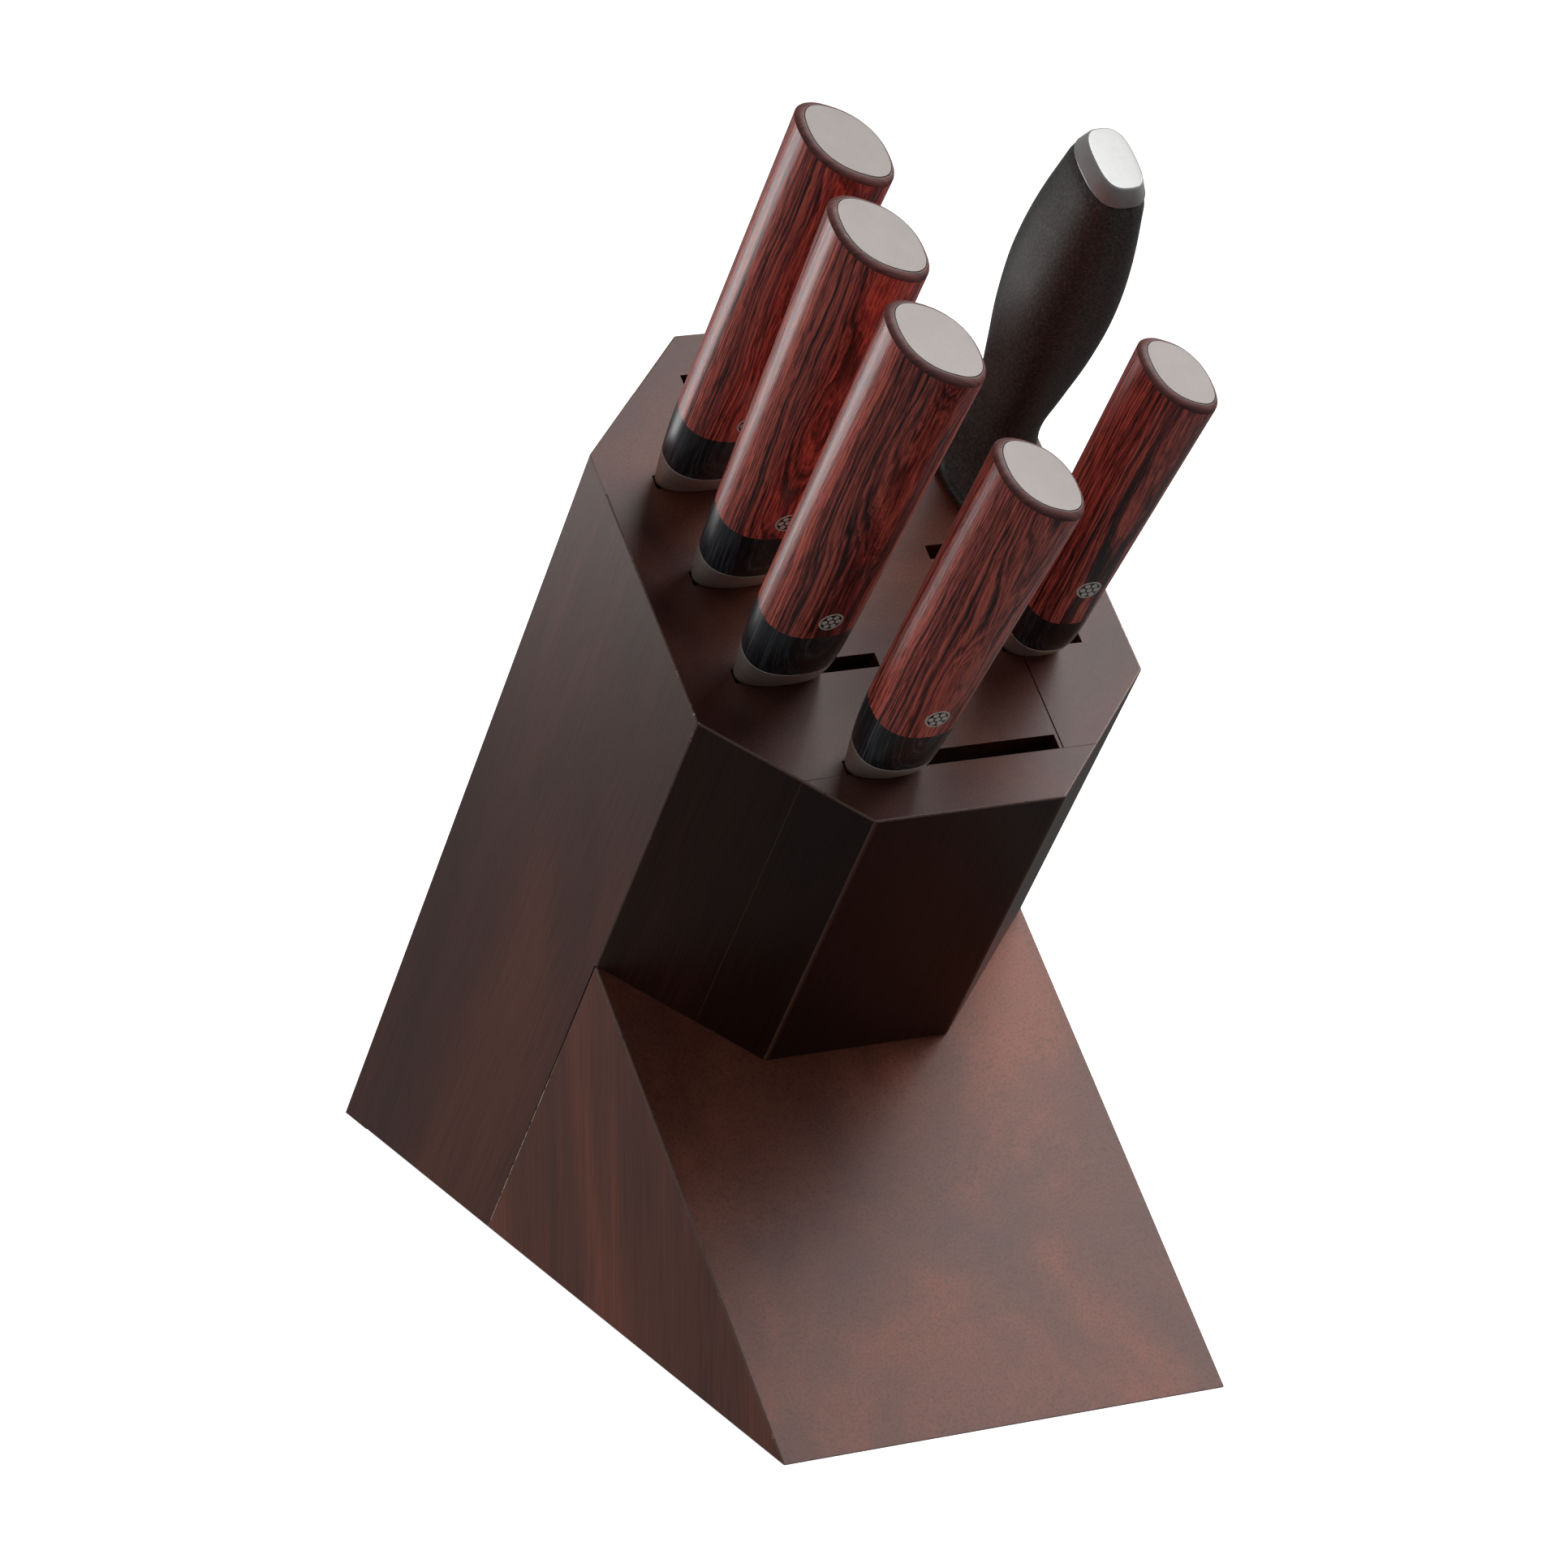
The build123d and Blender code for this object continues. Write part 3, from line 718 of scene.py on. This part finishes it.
class KNIFEBLOCK_OT_grips(bpy.types.Operator):
    """Model the red laminated grips with their slanted, bevelled butts and steel caps"""

    bl_idname = "knife_block.grips"
    bl_label = "Grips and butt caps"

    # how far the butt's bevel steps inwards and upwards, as shares of its size
    bevel_steps = ((0.10, 0.30), (0.20, 0.28), (0.30, 0.24), (0.40, 0.18))
    rings = 16
    spare_top = 12 * MM         # cut away again on the slant
    cap_hairline = 0.06 * MM
    cap_rim = 0.25 * MM

    def execute(self, context):
        looks = context.scene.knife_block_handles
        steel = make_brushed_steel(
            "satin steel", looks.steel, (0.03, 1, 1), 0.36, turn=(0, -Handle.slant, 0), depth=0.25
        )
        deep, red = tuple(looks.deep_red), tuple(looks.red)
        stops = [
            (0.38, tuple(looks.black)), (0.45, tuple(c * 0.5 for c in deep)), (0.50, deep),
            (0.56, tuple((a + b) / 2 for a, b in zip(deep, red))), (0.66, red),
        ]
        ends = make_end_grain()
        for index, name in enumerate(KNIVES):
            handle = Handle(name)
            wood = make_laminate(
                f"{name} red laminate", stops, 0.5 * MM, (0.013 * index, 0.0031 * index, 0.05 * index), 0.24
            )
            self.make_grip(handle, looks, wood, steel, ends)
        return {"FINISHED"}

    def make_grip(self, handle, looks, wood, steel, ends):
        run = handle.butt.z + self.spare_top - handle.low_height
        heights = [handle.low_height + i / self.rings * run for i in range(self.rings + 1)]
        grip = loft(f"{handle.name}_grip_wood", [handle.at(h) for h in heights], handle.outline)
        for material in (wood, ends):
            grip.data.materials.append(material)
        edit(grip)
        bpy.ops.mesh.select_all(action="SELECT")
        start = handle.butt - looks.butt_bevel * handle.butt_normal
        bpy.ops.mesh.bisect(plane_co=start, plane_no=handle.butt_normal, use_fill=True, clear_outer=True)

        def end_face(face):
            away = (face.calc_center_median() - start).dot(handle.butt_normal)
            return face.normal.dot(handle.butt_normal) > 0.999 and abs(away) < 0.02 * MM

        pick(grip, faces=end_face)
        grip.active_material_index = 1
        bpy.ops.object.material_slot_assign()
        for inward, up in self.bevel_steps:
            bpy.ops.mesh.inset(thickness=inward * looks.butt_bevel, depth=up * looks.butt_bevel)
        bpy.ops.mesh.inset(thickness=looks.butt_ring - looks.butt_bevel)
        down = -looks.recess * handle.butt_normal
        bpy.ops.mesh.extrude_region_move(TRANSFORM_OT_translate={"value": down})
        bpy.ops.mesh.duplicate()
        bpy.ops.mesh.separate(type="SELECTED")
        bpy.ops.object.mode_set(mode="OBJECT")
        cap = next(o for o in bpy.context.selected_objects if o != grip)
        self.make_cap(handle, looks, cap)
        for piece in (grip, cap):
            place(piece)
        finish_piece(grip, None, handle.body, [f"{handle.name}_grip"], angle=24)
        finish_piece(cap, steel, handle.body, [f"{handle.name}_butt_cap"], angle=24)

    def make_cap(self, handle, looks, cap):
        """Raise the recess's own floor into a cap that stands a hair proud of the wood."""
        cap.name = cap.data.name = f"{handle.name}_butt_cap_steel"
        rim = self.cap_rim
        edit(cap)
        bpy.ops.mesh.select_all(action="SELECT")
        middle = handle.butt - looks.recess * handle.butt_normal
        half = max((v.co - middle).length for v in cap.data.vertices)
        shrink = 1 - self.cap_hairline / half
        bpy.ops.transform.resize(value=(shrink,) * 3, center_override=middle)
        rise = (looks.recess + looks.cap_rise - rim) * handle.butt_normal
        bpy.ops.mesh.extrude_region_move(TRANSFORM_OT_translate={"value": rise})
        bpy.ops.mesh.extrude_region_move(TRANSFORM_OT_translate={"value": rim * handle.butt_normal})
        bpy.ops.transform.resize(value=(1 - rim / half,) * 3, center_override=handle.butt)
        bpy.ops.mesh.select_all(action="SELECT")
        bpy.ops.mesh.normals_make_consistent(inside=False)
        bpy.ops.object.mode_set(mode="OBJECT")


class KNIFEBLOCK_OT_necks(bpy.types.Operator):
    """Model the black laminated collars and the steel ferrules"""

    bl_idname = "knife_block.necks"
    bl_label = "Collars and ferrules"

    ferrule_rim = 0.14 * MM
    ferrule_foot = 0.5 * MM

    def execute(self, context):
        looks = context.scene.knife_block_handles
        steel = make_brushed_steel("brushed steel", looks.ferrule, (0.03, 0.03, 1), 0.4)
        streak = tuple(looks.collar_streak)
        stops = [
            (0.36, tuple(c * 0.5 for c in looks.collar)), (0.50, tuple(looks.collar)),
            (0.60, tuple(c * 0.45 for c in streak)), (0.70, streak),
        ]
        shares = [i / 8 for i in range(9)]
        for index, name in enumerate(KNIVES):
            handle = Handle(name)
            wood = make_laminate(
                f"{name} black laminate", stops, 0.5 * MM, (0.02 * index, 0.004 * index, 0.03 * index), 0.22
            )
            rows = shared_sections(f"{name}_collar", shares)
            collar = loft(f"{name}_collar_wood", rows, handle.outline)
            place(collar)
            finish_piece(collar, wood, handle.body, [f"{name}_collar"])
            rows = shared_sections(f"{name}_ferrule", shares)
            rim, foot = self.ferrule_rim, self.ferrule_foot
            bottom, top = rows[0], rows[-1]
            rows[0] = narrowed(bottom, foot)
            rows.insert(1, narrowed(bottom, foot * 0.3, foot * 0.3))
            rows.insert(2, narrowed(bottom, 0, foot))
            rows[-1] = narrowed(top, 0, -rim)
            rows.append(narrowed(top, rim))
            ferrule = loft(f"{name}_ferrule_steel", rows, handle.outline)
            place(ferrule)
            finish_piece(ferrule, steel, handle.body, [f"{name}_ferrule"])
        return {"FINISHED"}


class KNIFEBLOCK_OT_pins(bpy.types.Operator):
    """Model the mosaic pins: a thin tube, black resin and seven rods, flush on both sides"""

    bl_idname = "knife_block.pins"
    bl_label = "Mosaic pins"

    rods_in_ring = 6
    plug_depth = 0.9 * MM

    def execute(self, context):
        looks = context.scene.knife_block_handles
        metal = make_polished_steel("pin metal", (0.95, 0.92, 0.87), 0.3)
        resin = make_resin()
        for name in KNIVES:
            handle = Handle(name)
            bore = handle.pin_radius - looks.pin_wall
            rod = bore * 0.27
            ring = bore * 0.67
            places = [(0.0, 0.0)]
            for step in range(self.rods_in_ring):
                turn = math.tau * step / self.rods_in_ring
                places.append((ring * math.cos(turn), ring * math.sin(turn)))
            tube = self.plugs(handle, f"{name}_pin_ring", [(0, 0)], handle.pin_radius, looks.pin_rise)
            fill = self.plugs(handle, f"{name}_pin_fill", [(0, 0)], bore, looks.pin_rise * 1.8)
            rods = self.plugs(handle, f"{name}_pin_mosaic", places, rod, looks.pin_rise * 3)
            finish_piece(tube, metal, handle.body, [f"{name}_pin_tube"])
            finish_piece(fill, resin, handle.body, [f"{name}_pin_resin"])
            finish_piece(rods, metal, handle.body, [f"{name}_pin_rods"])
        return {"FINISHED"}

    def plugs(self, handle, name, places, radius, rise):
        """Short round plugs let into both sides of the grip, following its curve."""
        made = []
        for side in (-1, 1):
            for across, up in places:
                clear_selection()
                bpy.ops.mesh.primitive_circle_add(vertices=32, radius=radius, fill_type="TRIFAN")
                plug = bpy.context.object
                edit(plug)
                bpy.ops.mesh.select_all(action="SELECT")
                if radius > 1.5 * MM:
                    bpy.ops.mesh.subdivide(number_cuts=2)
                bpy.ops.mesh.extrude_region_move(
                    TRANSFORM_OT_translate={"value": (0, 0, -self.plug_depth)}
                )
                bpy.ops.object.mode_set(mode="OBJECT")
                centre = handle.pin + Vector((across, 0, up))
                for vertex in plug.data.vertices:
                    x, z = centre.x + vertex.co.x, centre.z + vertex.co.y
                    lift = rise + vertex.co.z
                    vertex.co = (x, handle.surface(x, z, side) + side * lift, z)
                made.append(plug)
        clear_selection()
        for plug in made:
            plug.select_set(True)
        bpy.context.view_layer.objects.active = made[0]
        if len(made) > 1:
            bpy.ops.object.join()
        piece = bpy.context.object
        piece.name = piece.data.name = name
        edit(piece)
        bpy.ops.mesh.select_all(action="SELECT")
        bpy.ops.mesh.normals_make_consistent(inside=False)
        bpy.ops.object.mode_set(mode="OBJECT")
        place(piece)
        return piece


class KNIFEBLOCK_OT_blades(bpy.types.Operator):
    """Give the blades their ground steel"""

    bl_idname = "knife_block.blades"
    bl_label = "Blades"

    def execute(self, context):
        steel = make_brushed_steel("ground steel", (0.40, 0.395, 0.39), (1, 1, 0.012), 0.3, depth=0.03)
        for name in KNIVES:
            blade = frame["nodes"][f"{name}_blade"]
            blade.data.materials.clear()
            blade.data.materials.append(steel)
        return {"FINISHED"}


# ---------------------------------------------------------------- honing steel
class KNIFEBLOCK_OT_honing(bpy.types.Operator):
    """Model the honing steel: fluted rod, plastic handle with its guard, and polished cap"""

    bl_idname = "knife_block.honing"
    bl_label = "Honing steel"

    sections = 44
    guard_top = 3.0 * MM
    guard_edge = 0.5 * MM
    neck_spread = 0.4 * MM      # the neck's root, wider than the neck
    rod_into_handle = 2.0 * MM
    cap_edge = 0.5 * MM
    rod_tip = 2.5 * MM

    def execute(self, context):
        looks = context.scene.knife_block_honing
        self.make_handle(looks)
        self.make_cap(looks)
        self.make_rod(looks)
        return {"FINISHED"}

    def make_handle(self, looks):
        low, high = span("honing_handle")
        rows = []
        for step in range(self.sections + 1):
            share = max(0.01, min(step / self.sections, 0.999))
            height = self.guard_top + share ** 1.2 * (high.z - self.guard_top)
            rows.append((height, *section("honing_handle", height)))
        bevel = looks.butt_bevel
        top = rows.pop()
        rows.append(narrowed(top, 0, -bevel))
        rows.append(narrowed(top, bevel * 0.35, -bevel * 0.3))
        rows.append(narrowed(top, bevel))
        middle, half = (low + high) / 2, (high - low) / 2
        guard = (low.z, middle.x, middle.y, half.x, half.y)
        edge = self.guard_edge
        neck = rows[0]
        start = [
            narrowed(guard, edge), narrowed(guard, 0, edge),
            narrowed(guard, 0, self.guard_top - low.z - edge), narrowed(guard, edge, self.guard_top - low.z),
        ]
        shrunk = (self.guard_top, *narrowed(neck, -self.neck_spread)[1:])
        handle = loft("honing_handle_grip", [*start, shrunk, *rows], self.outline)
        place(handle)
        finish_piece(handle, None, "honing_steel", ["honing_handle"], angle=28)
        handle.data.materials.append(make_plastic())

    def make_cap(self, looks):
        low, high = span("honing_cap")
        base = (low.z, *section("honing_cap", low.z + 0.05 * MM))
        top = (high.z, *section("honing_cap", high.z - 0.05 * MM))
        edge = self.cap_edge
        rows = [
            base, narrowed(base, 0, edge),
            narrowed(top, -0.2 * edge, -edge), narrowed(top, 0.35 * edge, -0.3 * edge),
            narrowed(top, edge), narrowed(top, 3 * edge, -0.3 * edge),
        ]
        cap = loft("honing_cap_steel", rows, self.outline)
        place(cap)
        steel = make_polished_steel("polished cap", looks.cap, 0.17)
        finish_piece(cap, steel, "honing_steel", ["honing_cap"], angle=28)

    def make_rod(self, looks):
        low, high = span("honing_rod")
        x, y = (low.x + high.x) / 2, (low.y + high.y) / 2
        radius = (high.x - low.x) / 2
        round_end = self.rod_tip
        rows = [(self.rod_into_handle, x, y, radius, radius)]
        rows += [(low.z + round_end, x, y, radius, radius)]
        steps = 5
        for step in range(1, steps + 1):
            turn = math.pi / 2 * step / steps
            reach = radius - round_end * (1 - math.cos(turn))
            rows.append((low.z + round_end * (1 - math.sin(turn)), x, y, reach, reach))
        flute = 1 - looks.flute_depth / radius

        def ridged(point, index):
            return point * (flute if index % 2 else 1)

        rod = loft("honing_rod_fluted", rows, ridged)
        place(rod)
        steel = make_brushed_steel("honing steel", (0.6, 0.6, 0.61), (1, 1, 0.02), 0.3)
        finish_piece(rod, steel, "honing_steel", ["honing_rod"], angle=10)

    def outline(self, point, _):
        return fuller(point, bpy.context.scene.knife_block_honing.fullness)


# ---------------------------------------------------------------- stage
class KNIFEBLOCK_OT_stage(bpy.types.Operator):
    """Lay the floor, and set up the soft lights and the camera"""

    bl_idname = "knife_block.stage"
    bl_label = "Floor, lights and camera"

    # name, place, point aimed at, size x, size y, watts
    softboxes = (
        ("overhead softbox", (1.0, -0.25, 1.4), (0.05, 0.0, 0.15), 1.2, 1.5, 28.0),
        ("right softbox", (1.7, 0.35, 0.85), (0.0, 0.0, 0.2), 1.0, 0.9, 3.6),
        ("left softbox", (-1.15, 1.25, 0.75), (0.0, 0.0, 0.15), 0.8, 0.9, 11.0),
        ("low strip", (-0.52, 0.78, 0.13), (0.0, -0.05, 0.25), 0.3, 0.24, 0.75),
    )
    without_highlight = ("left softbox",)
    floor_size = 8.0

    def execute(self, context):
        looks = context.scene.knife_block_stage
        context.scene.view_settings.view_transform = "Standard"
        self.lay_floor(looks)
        self.hang_lights(looks)
        self.set_camera(looks)
        return {"FINISHED"}

    def lay_floor(self, looks):
        clear_selection()
        bpy.ops.mesh.primitive_plane_add(size=self.floor_size, location=(0, 0, 0))
        floor = bpy.context.object
        floor.name = "floor"
        material, _, shader = start_material("pale floor", Roughness=0.9, Specular_IOR_Level=0.1)
        shader.inputs["Base Color"].default_value = (*looks.floor, 1)
        shader.inputs["Emission Color"].default_value = (1, 1, 1, 1)
        shader.inputs["Emission Strength"].default_value = looks.glow
        floor.data.materials.append(material)
        floor.visible_diffuse = floor.visible_glossy = False

    def hang_lights(self, looks):
        for name, where, aim, width, height, watts in self.softboxes:
            bpy.ops.object.light_add(type="AREA", location=where)
            lamp = bpy.context.object
            lamp.name = name
            lamp.data.shape = "RECTANGLE"
            lamp.data.size, lamp.data.size_y = width, height
            lamp.data.energy = watts
            lamp.rotation_mode = "QUATERNION"
            lamp.rotation_quaternion = (Vector(aim) - Vector(where)).to_track_quat("-Z", "Y")
            lamp.visible_camera = False
            lamp.visible_glossy = name not in self.without_highlight
        self.fill_air(looks)

    def fill_air(self, looks):
        """Even light from all round, dimmer from below; the camera sees plain white instead."""
        world = bpy.data.worlds.new("even light")
        world.use_nodes = True
        tree = world.node_tree
        ways = add_node(tree, "ShaderNodeTexCoord").outputs["Generated"]
        upward = add_node(tree, "ShaderNodeSeparateXYZ", {0: ways}).outputs["Z"]
        strength = add_node(tree, "ShaderNodeMapRange", {
            "Value": upward, "From Min": -0.5, "From Max": 0.3,
            "To Min": looks.air * 0.5, "To Max": looks.air,
        }).outputs[0]
        seen = add_node(tree, "ShaderNodeLightPath").outputs["Is Camera Ray"]
        lit = math_node(tree, "MULTIPLY", strength, math_node(tree, "SUBTRACT", 1.0, seen))
        link(tree, math_node(tree, "ADD", lit, seen), tree.nodes["Background"], "Strength")
        tree.nodes["Background"].inputs["Color"].default_value = (1, 1, 1, 1)
        bpy.context.scene.world = world

    def set_camera(self, looks):
        around, up = looks.azimuth, looks.elevation
        back = Vector((math.sin(around) * math.cos(up), -math.cos(around) * math.cos(up), math.sin(up)))
        bpy.ops.object.camera_add(location=Vector(looks.target) + looks.distance * back)
        camera = bpy.context.object
        camera.name = "camera"
        camera.rotation_mode = "QUATERNION"
        roll = Quaternion((0, 0, 1), looks.roll)
        camera.rotation_quaternion = (-back).to_track_quat("-Z", "Y") @ roll
        camera.data.lens = looks.lens
        camera.data.sensor_width = 36
        bpy.context.scene.camera = camera


class KNIFEBLOCK_PT_panel(bpy.types.Panel):
    """The pieces of the knife block"""

    bl_label = "Knife Block"
    bl_idname = "KNIFEBLOCK_PT_panel"
    bl_space_type = "VIEW_3D"
    bl_region_type = "UI"
    bl_category = "Knife Block"

    def draw(self, context):
        for made in STEPS:
            self.layout.operator(made.bl_idname)
        for group in GROUPS:
            values = getattr(context.scene, group)
            box = self.layout.box()
            for key in values.__annotations__:
                box.prop(values, key)


STEPS = (
    KNIFEBLOCK_OT_boards,
    KNIFEBLOCK_OT_grips,
    KNIFEBLOCK_OT_necks,
    KNIFEBLOCK_OT_pins,
    KNIFEBLOCK_OT_blades,
    KNIFEBLOCK_OT_honing,
    KNIFEBLOCK_OT_stage,
)
CLASSES = (*GROUPS.values(), *STEPS, KNIFEBLOCK_PT_panel)


def register():
    for made in CLASSES:
        bpy.utils.register_class(made)
    for name, group in GROUPS.items():
        setattr(bpy.types.Scene, name, bpy.props.PointerProperty(type=group))


def unregister():
    for name in GROUPS:
        delattr(bpy.types.Scene, name)
    for made in reversed(CLASSES):
        bpy.utils.unregister_class(made)


def main():
    register()
    for made in STEPS:
        group, name = made.bl_idname.split(".")
        getattr(getattr(bpy.ops, group), name)()


if __name__ == "__main__":
    main()
